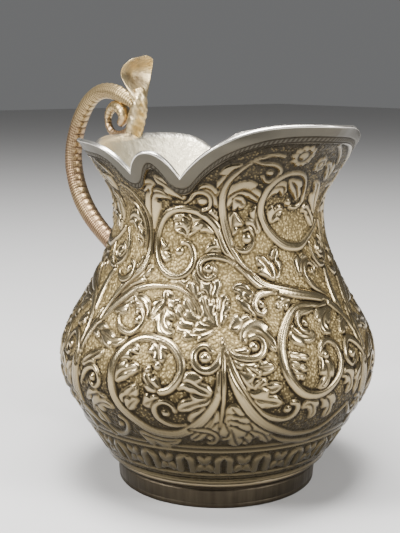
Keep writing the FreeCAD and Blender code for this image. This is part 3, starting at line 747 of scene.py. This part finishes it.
foot = {"height": 5.3, "radius": 23.6, "topRadius": 24.0, "thickness": 2.0, "bevel": 0.25,
        "segments": 256}
innerTop = foot["topRadius"] - foot["thickness"]
innerLow = foot["radius"] - foot["thickness"]
footRing = turnedRing("foot_ring_brushed", [
    (foot["radius"] - foot["bevel"], 0.0), (foot["radius"], foot["bevel"]),
    (foot["radius"] + 0.06, 0.9), (foot["radius"] - 0.04, 1.15), (foot["radius"] + 0.1, 1.4),
    (foot["topRadius"] - 0.12, foot["height"] - 1.1), (foot["topRadius"] - 0.3, foot["height"] - 0.85),
    (foot["topRadius"] - 0.06, foot["height"] - 0.55), (foot["topRadius"], foot["height"]),
    (innerTop, foot["height"]), (innerLow, foot["bevel"]), (innerLow + foot["bevel"], 0.0),
], foot["segments"], True)

wire = {"low": 5.3, "height": 1.6, "radius": 24.0, "bulge": 1.15, "bedded": 0.6, "steps": 9,
        "segments": 384}
wireArc = [(wire["radius"] - wire["bedded"], wire["low"])]
for step in range(wire["steps"]):
    turn = math.pi * (step / (wire["steps"] - 1) - 0.5)
    wireArc.append((wire["radius"] + wire["bulge"] * math.cos(turn),
                    wire["low"] + wire["height"] * (0.5 + 0.5 * math.sin(turn))))
wireArc.append((wire["radius"] - wire["bedded"], wire["low"] + wire["height"]))
footWire = turnedRing("foot_wire_drawn", wireArc, wire["segments"], True)

underside = {"ledge": 1.0, "gap": 0.05, "flat": 16.0, "rings": [8.0, 3.0, 0.0], "sunk": 0.02,
             "segments": 192}
bodyRadius = vessel["levels"][0][1]
collarLow = foot["height"] + underside["gap"]
collar = turnedRing("body_underside", [
    (bodyRadius, bodyBottom), (bodyRadius - underside["ledge"], bodyBottom),
    (foot["topRadius"], bodyBottom - underside["gap"]), (foot["topRadius"], collarLow),
    (innerTop, collarLow), (innerTop, bodyBottom), (underside["flat"], bodyBottom),
] + [(radius, bodyBottom - underside["sunk"]) for radius in underside["rings"]],
    underside["segments"], False)
print("foot, wire and underside made")


# ---- serpent handle and its tail curl
seat = {"below": 60.0, "depth": 0.12}  # tubes that start under this height stop this far inside the sheet


def sweptTube(name, tube, shape):
    # a tapered tube along (behind, height, thickness); shape(along, turn) scales its radius
    points = np.array(tube["path"], float)
    chord = np.concatenate([[0.0], np.cumsum(np.hypot(*np.diff(points[:, :2], axis=0).T))])
    line = curveThrough(chord, points[:, :2])
    runs = np.linspace(-tube["startsBefore"], chord[-1], tube["rings"])
    centre = line(runs)
    heading = np.gradient(centre, axis=0)
    heading /= np.linalg.norm(heading, axis=1, keepdims=True)
    size = np.interp(runs, chord, points[:, 2]) / 2.0
    turns = np.arange(tube["sides"]) / tube["sides"] * 2.0 * math.pi
    scale, marks = shape(runs[:, None], turns[None, :])
    # turn 0 is the outer side of the bend, the normal of the path in the handle's plane
    normal = np.stack([-heading[:, 1], heading[:, 0]], axis=1)
    radial = size[:, None] * scale
    behind = centre[:, :1] + normal[:, :1] * radial * np.cos(turns)
    height = centre[:, 1:] + normal[:, 1:] * radial * np.cos(turns)
    across = radial * np.sin(turns)
    grid = np.stack([-behind, across, height], axis=-1)
    # what reaches through the sheet is pushed back into it
    angles = np.degrees(np.arctan2(-grid[..., 1], grid[..., 0])) % 360.0
    least = insideRadius(angles, grid[..., 2]) + seat["depth"]
    lift = np.where(grid[..., 2] < seat["below"], least / np.hypot(grid[..., 0], grid[..., 1]), 1.0)
    grid[..., :2] *= np.maximum(lift, 1.0)[..., None]
    marks = {label: doubledEnds(values) for label, values in marks.items()}
    piece = gridPiece(name, capped(grid), True, marks, mapped=False)
    weld(piece, True)
    return piece


serpent = {
    "path": [(31.0, 46.2, 5.0), (44.9, 52.3, 5.2), (56.3, 61.2, 5.6), (60.4, 71.7, 5.3),
             (57.3, 82.2, 4.8), (48.6, 90.1, 4.2), (38.2, 90.1, 4.4), (32.0, 87.2, 2.4)],
    "rings": 520, "sides": 56, "startsBefore": 1.6, "slim": 1.10,
    # length of one bead, scute or scale, how far its row reaches round, and how far it stands out
    "bead": 1.75, "beadReach": 0.30, "beadRise": 0.13,
    "scute": 2.1, "scuteReach": 0.72, "scuteRise": 0.10,
    "scale": 1.5, "scaleTurns": 4.2, "scaleRise": 0.07,
}
tail = {
    "path": [(33.9, 81.6, 2.2), (38.4, 79.9, 2.0), (42.4, 80.7, 1.9), (43.8, 83.8, 1.8),
             (42.0, 86.6, 2.5), (38.6, 86.8, 3.3), (36.7, 84.8, 3.2), (38.3, 82.8, 2.2)],
    "rings": 220, "sides": 28, "startsBefore": 1.2, "ridge": 1.3, "ridgeRise": 0.12,
}


def serpentSkin(along, turn):
    # back beads at turn pi (outside of the loop), belly scutes at turn 0, rows of scales between
    back = np.exp(-((turn - math.pi) / serpent["beadReach"]) ** 2)
    belly = np.exp(-(np.minimum(turn, 2.0 * math.pi - turn) / serpent["scuteReach"]) ** 4)
    beadWave = np.abs(np.cos(math.pi * along / serpent["bead"])) ** 0.6
    scuteWave = np.abs(np.cos(math.pi * along / serpent["scute"])) ** 0.45
    sideways = (turn - math.pi) * serpent["scaleTurns"]
    scaleWave = (0.5 + 0.5 * np.cos(2.0 * math.pi * (along / serpent["scale"] + sideways / 2.0))
                 * np.cos(2.0 * math.pi * (along / serpent["scale"] - sideways / 2.0)))
    flank = np.clip(1.0 - back - belly, 0.0, 1.0)
    form = (1.0 + back * (serpent["beadRise"] * beadWave - 0.04)
            + belly * (serpent["scuteRise"] * scuteWave - 0.09)
            + flank * (serpent["scaleRise"] * scaleWave - serpent["scaleRise"]))
    low = back * (1.0 - beadWave) + belly * (1.0 - scuteWave) + flank * (1.0 - scaleWave)
    worn = np.clip(low, 0.0, 1.0) * np.ones(form.shape)
    return form / serpent["slim"], {"hollow": worn}


def tailSkin(along, turn):
    ridges = np.abs(np.cos(math.pi * along / tail["ridge"])) ** 0.5
    side = 0.55 + 0.45 * np.cos(turn)
    form = 1.0 + side * (tail["ridgeRise"] * ridges - 0.10)
    return form, {"hollow": side * (1.0 - ridges)}


serpentPiece = sweptTube("serpent_scaled", serpent, serpentSkin)
tailPiece = sweptTube("tail_scaled", tail, tailSkin)
print("serpent made")

# ---- hood above the rim: a hollow leaf-like head on a short neck
neck = {
    "path": [(32.8, 80.2, 4.0), (31.7, 83.2, 4.6), (30.5, 86.6, 4.3), (30.0, 89.4, 3.6), (30.4, 91.6, 2.6)],
    "rings": 120, "sides": 40, "startsBefore": 1.0, "lump": 0.05, "keel": 0.12,
}
hood = {
    # height, edges behind the axis, half width, depth of the back, how far the front stands out
    "sections": [(86.2, 30.3, 1.5, 1.3, 0.9), (88.6, 30.2, 2.1, 1.5, 0.5), (91.0, 30.6, 3.0, 1.7, -0.2),
                 (93.4, 31.2, 4.1, 2.0, -0.9), (96.0, 31.4, 4.85, 2.4, -1.5), (98.3, 30.8, 4.8, 2.1, -1.4),
                 (100.0, 30.0, 4.0, 1.3, -0.7)],
    "rows": 100, "columns": 72, "roll": 0.62, "slant": 0.17,
}


def hoodForm():
    # a closed section at each height: round back, dished front, with a rolled edge all round;
    # the top slopes down towards the near side
    sections = np.array(hood["sections"], float)
    along = curveThrough(sections[:, 0], sections[:, 1:])
    low, high = sections[0, 0], sections[-1, 0]
    turns = np.arange(hood["columns"]) / hood["columns"] * 2.0 * math.pi
    bowl = 1.0 - np.sin(turns) ** 2
    rows = []
    marks = []
    for share in np.linspace(0.0, 1.0, hood["rows"]):
        level = low + (high - low - 0.02) * share
        edge, half, back, front = along(np.array([level]))[0]
        closing = min(1.0, math.sqrt(max(0.0, (high - level) / 0.9)) + 0.02)
        half *= 0.45 + 0.55 * closing
        across = half * np.sin(turns)
        deep = np.where(np.cos(turns) < 0.0, (back * bowl + hood["roll"] * 0.5 * np.sqrt(bowl)) * closing,
                        -front * bowl * closing - hood["roll"] * 0.8 * np.sqrt(bowl) * (0.3 + 0.7 * closing))
        fall = hood["slant"] * (half - across) * smoothStep(0.45, 1.0, share)
        rows.append(np.stack([-(edge + deep), across, level - fall], axis=-1))
        marks.append(np.where(np.cos(turns) > 0.0, bowl, 0.0))
    return np.array(rows), np.array(marks)


hoodPoints, hoodDish = hoodForm()
hoodPiece = gridPiece("hood_gilt", capped(hoodPoints), True, {"dish": doubledEnds(hoodDish)},
                      mapped=False)


def neckSkin(along, turn):
    # lumpy, with a keel in front that runs up into the hood
    lumps = np.sin(2.3 * along + 1.7 * np.sin(turn)) * np.sin(3.0 * turn + 1.1 * along)
    keel = np.exp(-((turn - math.pi) / 0.5) ** 2)
    form = 1.02 + neck["lump"] * lumps + neck["keel"] * keel
    return form, {"dish": np.clip(0.35 - 0.5 * lumps - 0.4 * keel, 0.0, 1.0)}


neckPiece = sweptTube("hood_neck", neck, neckSkin)
clearSelection()
for piece in (hoodPiece, neckPiece):
    piece.select_set(True)
bpy.context.view_layer.objects.active = hoodPiece
bpy.ops.object.join()
weld(hoodPiece, True)
print("hood made")


# ---- finishes
class Wire:
    # one socket of a finish; sums and products of it add Math nodes
    def __init__(self, finish, socket):
        self.finish, self.socket = finish, socket

    def __add__(self, other):
        return self.finish.maths("ADD", self, other)

    __radd__ = __add__

    def __mul__(self, other):
        return self.finish.maths("MULTIPLY", self, other)

    __rmul__ = __mul__

    def __sub__(self, other):
        return self.finish.maths("SUBTRACT", self, other)

    def __rsub__(self, other):
        return self.finish.maths("SUBTRACT", other, self)


class Finish:
    def __init__(self, name, fixed):
        self.material = bpy.data.materials.new(name)
        self.material.use_nodes = True
        self.tree = self.material.node_tree
        self.shader = self.tree.nodes["Principled BSDF"]
        for label, value in fixed.items():
            self.shader.inputs[label].default_value = value

    def node(self, kind, settings, inputs, out=0):
        made = self.tree.nodes.new(kind)
        for label, value in settings.items():
            setattr(made, label, value)
        for label, value in inputs.items():
            self.feed(made.inputs[label], value)
        return Wire(self, made.outputs[out])

    def feed(self, socket, value):
        if isinstance(value, Wire):
            self.tree.links.new(value.socket, socket)
        else:
            socket.default_value = value

    def maths(self, how, first, second, held=False):
        return self.node("ShaderNodeMath", {"operation": how, "use_clamp": held}, {0: first, 1: second})

    def held(self, value):
        return self.maths("MULTIPLY", value, 1.0, held=True)

    def mark(self, name):
        return self.node("ShaderNodeAttribute", {"attribute_name": name}, {}, out="Fac")

    def places(self, size=(1.0, 1.0, 1.0)):
        raw = self.node("ShaderNodeTexCoord", {}, {}, out="Object")
        return self.node("ShaderNodeMapping", {}, {"Vector": raw, "Scale": size})

    def upward(self):
        raw = self.node("ShaderNodeTexCoord", {}, {}, out="Object")
        return self.node("ShaderNodeSeparateXYZ", {}, {"Vector": raw}, out="Z")

    def noise(self, scale, detail=3.0, size=(1.0, 1.0, 1.0), roughness=0.55):
        return self.node("ShaderNodeTexNoise", {}, {"Vector": self.places(size), "Scale": scale,
                                                    "Detail": detail, "Roughness": roughness}, out="Fac")

    def span(self, value, low, high):
        return self.node("ShaderNodeMapRange", {"clamp": True, "interpolation_type": "SMOOTHSTEP"},
                         {"Value": value, "From Min": low, "From Max": high})

    def blend(self, share, first, second):
        first = first if isinstance(first, Wire) else (*first, 1.0)
        second = second if isinstance(second, Wire) else (*second, 1.0)
        return self.node("ShaderNodeMix", {"data_type": "RGBA"}, {0: share, 6: first, 7: second}, out=2)

    def bump(self, height, strength, distance, onto=None):
        inputs = {"Height": height, "Strength": strength, "Distance": distance}
        if onto is not None:
            inputs["Normal"] = onto
        return self.node("ShaderNodeBump", {}, inputs)

    def finishWith(self, **sockets):
        names = {"colour": "Base Color", "rough": "Roughness", "normal": "Normal"}
        for label, value in sockets.items():
            self.feed(self.shader.inputs[names[label]], value)
        return self.material


# The dark tarnish colour stands for real tarnish in hollows, cut lines and pits. It also paints shade on the
# foot and on the wire's lower half, and deepens the painted shade on the belly. The two darkest belly colours
# are painted shade, towards the bottom and under the lip.
silver = {
    "crest": (0.56, 0.46, 0.285), "flank": (0.28, 0.215, 0.12), "ground": (0.31, 0.23, 0.105),
    "tarnishAndPaintedShadeTone": (0.020, 0.014, 0.008), "gold": (0.64, 0.495, 0.24), "amber": (0.40, 0.29, 0.155),
    "plain": (0.080, 0.074, 0.060), "bright": (0.86, 0.82, 0.74), "within": (0.97, 0.90, 0.70),
    "foot": (0.060, 0.048, 0.034), "rose": (0.36, 0.215, 0.135), "gilt": (0.62, 0.44, 0.19),
    "paintedShadeLowTone": (0.032, 0.026, 0.016), "paintedShadeLipTone": (0.050, 0.044, 0.033), "plainCloud": (0.13, 0.117, 0.090),
    "footBright": (0.14, 0.115, 0.080), "footGroove": (0.022, 0.018, 0.012), "wire": (0.30, 0.25, 0.17),
    "giltPale": (0.74, 0.66, 0.46), "giltWorn": (0.16, 0.10, 0.045),
}

# heights in metres between which a shade comes in: painted shade towards the belly's bottom, under the lip,
# at the foot's lowest edge and top, and on the wire's lower half; at serpentTop the handle's top turns gold
shade = {"paintedShadeLow": (0.042, 0.017), "paintedShadeUnderLip": (0.060, 0.078), "paintedShadeFootLow": (0.0012, 0.0002),
         "paintedShadeFootTop": (0.0038, 0.0052), "paintedShadeWireUnder": (0.0064, 0.0054), "serpentTop": (0.080, 0.090)}
# how fine each cloud, grain or stroke is
grainOf = {"chasedCloud": 55.0, "chasedFine": 900.0, "stipple": 1700.0, "plainCloud": 70.0,
           "scratches": 350.0, "pits": 420.0, "hammered": 420.0, "footStrokes": 700.0, "footCloud": 90.0,
           "wireFine": 500.0, "wireCloud": 140.0, "serpentFine": 1100.0, "serpentCloud": 120.0,
           "hoodFine": 1300.0, "hoodCloud": 260.0}


def chasedSilver():
    finish = Finish("chasedSilver", {"Metallic": 1.0, "Specular IOR Level": 0.5})
    height = finish.mark("relief")
    ground = finish.mark("ground")
    hollow = finish.mark("hollow")
    up = finish.upward()
    cloudy = finish.noise(grainOf["chasedCloud"], 4.0)
    fine = finish.noise(grainOf["chasedFine"])
    cells = finish.node("ShaderNodeTexVoronoi", {"feature": "F1"},
                        {"Vector": finish.places(), "Scale": grainOf["stipple"], "Randomness": 0.9},
                        out="Distance")
    grain = finish.span(cells, 0.16, 0.58)
    # painted shade masks: the belly towards its bottom, and the neck under the lip
    paintedShadeLow = finish.span(up, *shade["paintedShadeLow"])
    paintedShadeUnderLip = finish.span(up, *shade["paintedShadeUnderLip"])
    crest = finish.span(height, 0.25, 0.85)
    colour = finish.blend(crest, silver["flank"], silver["crest"])
    colour = finish.blend(ground, colour, finish.blend(grain, silver["gold"], silver["ground"]))
    colour = finish.blend(finish.held(cloudy * 0.9 - 0.25) * (1.0 - ground * 0.7), colour, silver["gold"])
    # real tarnish in the hollows and on the stippled ground, deepened by painted shade towards the belly's
    # bottom and under the lip
    tarnishAndPaintedShade = hollow * (1.10 + 0.5 * paintedShadeLow + 0.4 * paintedShadeUnderLip)
    tarnishAndPaintedShade = tarnishAndPaintedShade + ground * (0.25 + 0.35 * paintedShadeLow + 0.30 * paintedShadeUnderLip) * grain
    tarnishAndPaintedShade = tarnishAndPaintedShade + ground * (paintedShadeLow * 0.50 + paintedShadeUnderLip * 0.38) + (cloudy - 0.5) * 0.30 * ground
    colour = finish.blend(finish.held(tarnishAndPaintedShade), colour, silver["tarnishAndPaintedShadeTone"])
    # painted shade: the belly darkens towards the bottom, and the neck darkens under the lip
    colour = finish.blend(paintedShadeLow * 0.90, colour, silver["paintedShadeLowTone"])
    colour = finish.blend(paintedShadeUnderLip * 0.72, colour, silver["paintedShadeLipTone"])
    rough = finish.held(0.22 + ground * 0.24 + hollow * 0.25 + fine * 0.12 - crest * 0.06)
    normal = finish.bump(cells * ground, 0.75, 0.00022)
    normal = finish.bump(fine, 0.10, 0.0001, normal)
    return finish.finishWith(colour=colour, rough=rough, normal=normal)


def plainSilver():
    finish = Finish("plainSilver", {"Metallic": 1.0})
    cut = finish.mark("cut")
    edge = finish.mark("edge")
    within = finish.mark("within")
    scratches = finish.noise(grainOf["scratches"], 4.0, size=(1.0, 1.0, 0.12))
    cloudy = finish.noise(grainOf["plainCloud"], 4.0)
    pits = finish.node("ShaderNodeTexVoronoi", {"feature": "F1"},
                       {"Vector": finish.places(), "Scale": grainOf["pits"], "Randomness": 1.0},
                       out="Distance")
    speck = finish.span(pits, 0.20, 0.08) * within
    colour = finish.blend(finish.held(cloudy * 1.4 - 0.35), silver["plain"], silver["plainCloud"])
    colour = finish.blend(within, colour, finish.blend(cloudy * 0.5, silver["within"], silver["gold"]))
    colour = finish.blend(edge * 0.9, colour, silver["bright"])
    colour = finish.blend(finish.held(cut * 0.9 + speck * 0.12), colour, silver["tarnishAndPaintedShadeTone"])
    rough = finish.held(0.36 + scratches * 0.16 + cut * 0.2 - edge * 0.14)
    normal = finish.bump(scratches, 0.16, 0.0001)
    normal = finish.bump(finish.noise(grainOf["hammered"]) * within, 0.55, 0.0006, normal)
    return finish.finishWith(colour=colour, rough=rough, normal=normal)


def brushedFoot():
    finish = Finish("brushedFoot", {"Metallic": 1.0})
    strokes = finish.noise(grainOf["footStrokes"], 4.0, size=(1.0, 1.0, 0.06))
    cloudy = finish.noise(grainOf["footCloud"], 4.0)
    up = finish.upward()
    # painted shade masks: the foot's floor edge, and its top under the wire
    low = finish.span(up, *shade["paintedShadeFootLow"])
    high = finish.span(up, *shade["paintedShadeFootTop"])
    colour = finish.blend(strokes, silver["footBright"], silver["footGroove"])
    colour = finish.blend(finish.held(cloudy * 1.3 - 0.3), colour, silver["foot"])
    # painted shade at the foot's floor edge and under the wire
    colour = finish.blend(finish.held(low * 0.5 + high * 0.7), colour, silver["tarnishAndPaintedShadeTone"])
    rough = finish.held(0.36 + strokes * 0.25)
    return finish.finishWith(colour=colour, rough=rough, normal=finish.bump(strokes, 0.5, 0.0002))


def drawnWire():
    finish = Finish("drawnWire", {"Metallic": 1.0})
    cloudy = finish.noise(grainOf["wireCloud"], 4.0)
    up = finish.upward()
    # painted shade mask: the wire's lower half
    under = finish.span(up, *shade["paintedShadeWireUnder"])
    colour = finish.blend(finish.held(cloudy * 1.3 - 0.3), silver["wire"], silver["flank"])
    # painted shade on the wire's lower half
    colour = finish.blend(under * 0.8, colour, silver["tarnishAndPaintedShadeTone"])
    return finish.finishWith(colour=colour, rough=finish.held(0.26 + cloudy * 0.2),
                             normal=finish.bump(finish.noise(grainOf["wireFine"]), 0.15, 0.0001))


def serpentSilver():
    finish = Finish("serpentSilver", {"Metallic": 1.0})
    hollow = finish.mark("hollow")
    cloudy = finish.noise(grainOf["serpentCloud"], 4.0)
    fine = finish.noise(grainOf["serpentFine"])
    up = finish.upward()
    colour = finish.blend(finish.held(cloudy * 1.5 - 0.35), silver["rose"], silver["amber"])
    colour = finish.blend(finish.span(up, *shade["serpentTop"]) * 0.6, colour, silver["gold"])
    colour = finish.blend(finish.held(hollow * 0.95), colour, silver["tarnishAndPaintedShadeTone"])
    colour = finish.blend(finish.held(0.5 - hollow) * cloudy, colour, silver["gold"])
    rough = finish.held(0.30 + hollow * 0.3 + fine * 0.12)
    return finish.finishWith(colour=colour, rough=rough, normal=finish.bump(fine, 0.25, 0.00015))


def giltHood():
    finish = Finish("giltHood", {"Metallic": 1.0})
    dish = finish.mark("dish")
    cloudy = finish.noise(grainOf["hoodCloud"], 4.0)
    fine = finish.noise(grainOf["hoodFine"])
    colour = finish.blend(finish.held(cloudy * 1.4 - 0.3), silver["gilt"], silver["giltPale"])
    colour = finish.blend(finish.held(dish * (cloudy * 1.6 - 0.25)), colour, silver["giltWorn"])
    rough = finish.held(0.28 + dish * 0.15 + fine * 0.15)
    return finish.finishWith(colour=colour, rough=rough, normal=finish.bump(cloudy, 0.9, 0.0006))


chasedFinish = chasedSilver()
for piece in chasedPieces + [leafBand]:
    piece.data.materials.append(chasedFinish)
plainFinish = plainSilver()
mouthPiece.data.materials.append(plainFinish)
footFinish = brushedFoot()
for piece in (footRing, collar):
    piece.data.materials.append(footFinish)
footWire.data.materials.append(drawnWire())
serpentFinish = serpentSilver()
for piece in (serpentPiece, tailPiece):
    piece.data.materials.append(serpentFinish)
hoodPiece.data.materials.append(giltHood())
print("finishes made")

# ---- what each piece stands for
standsFor = [
    (chasedPieces + [leafBand, mouthPiece, collar], "vessel", "chased_silver"),
    ([footRing], "foot_ring", "plain_silver"),
    ([footWire], "foot_wire", "plain_silver"),
    ([serpentPiece], "serpent_handle", "cast_silver"),
    ([tailPiece], "tail_curl", "cast_silver"),
    ([hoodPiece], "serpent_hood", "worn_gilding"),
]
for group, node, slotName in standsFor:
    for piece in group:
        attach(piece, "root")
        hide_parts(node)

# ---- floor, light and camera
studio = {"floor": 4.0, "floorColour": (0.62, 0.61, 0.60), "floorCloud": (0.56, 0.55, 0.54),
          "air": (0.78, 0.79, 0.80), "airStrength": 0.20}
clearSelection()
bpy.ops.mesh.primitive_plane_add(size=studio["floor"], location=(0.0, 0.0, 0.0))
floor = bpy.context.object
floor.name = "studio_floor"
floorFinish = Finish("paleFloor", {"Roughness": 0.85})
floorTone = floorFinish.noise(30.0, 3.0)
floor.data.materials.append(floorFinish.finishWith(
    colour=floorFinish.blend(floorTone * 0.25, studio["floorColour"], studio["floorCloud"])))

world = bpy.data.worlds.new("studioAir")
bpy.context.scene.world = world
world.use_nodes = True
air = world.node_tree.nodes["Background"]
air.inputs["Color"].default_value = (*studio["air"], 1.0)
air.inputs["Strength"].default_value = studio["airStrength"]

# name, place, where it aims, width, height, power
lamps = [
    ("softboxAbove", (0.02, -0.06, 0.60), (0.0, 0.0, 0.05), 0.30, 0.26, 9.0),
    ("softboxLeft", (-0.12, -0.46, 0.34), (0.0, 0.0, 0.05), 0.12, 0.20, 4.5),
    ("softboxRight", (0.46, 0.10, 0.30), (0.0, 0.0, 0.05), 0.10, 0.24, 2.6),
]
for name, place, aim, width, height, power in lamps:
    clearSelection()
    bpy.ops.object.light_add(type="AREA", location=place)
    lamp = bpy.context.object
    lamp.name = name
    lamp.data.shape = "RECTANGLE"
    lamp.data.size, lamp.data.size_y = width, height
    lamp.data.energy = power
    lamp.rotation_euler = (Vector(aim) - Vector(place)).to_track_quat("-Z", "Y").to_euler()

camera = {"place": (0.1831, -0.1620, 0.0966), "lens": 70.92, "turn": 48.5, "yaw": -0.98,
          "pitch": 10.64, "roll": 0.27}
clearSelection()
bpy.ops.object.camera_add(location=camera["place"])
eye = bpy.context.object
eye.name = "studio_camera"
eye.data.lens = camera["lens"]
eye.data.sensor_width = 36.0
eye.data.clip_start, eye.data.clip_end = 0.01, 10.0
heading = (camera["turn"] - camera["yaw"]) * degree
pitchDown = camera["pitch"] * degree
ahead = Vector((-math.sin(heading) * math.cos(pitchDown), math.cos(heading) * math.cos(pitchDown),
                -math.sin(pitchDown)))
right = Vector((math.cos(heading), math.sin(heading), 0.0))
upright = right.cross(ahead)
rolled = camera["roll"] * degree
rightTurned = right * math.cos(rolled) + upright * math.sin(rolled)
uprightTurned = upright * math.cos(rolled) - right * math.sin(rolled)
turning = Matrix((rightTurned, uprightTurned, -ahead)).transposed().to_4x4()
eye.matrix_world = Matrix.Translation(camera["place"]) @ turning
bpy.context.scene.camera = eye
print("studio made")
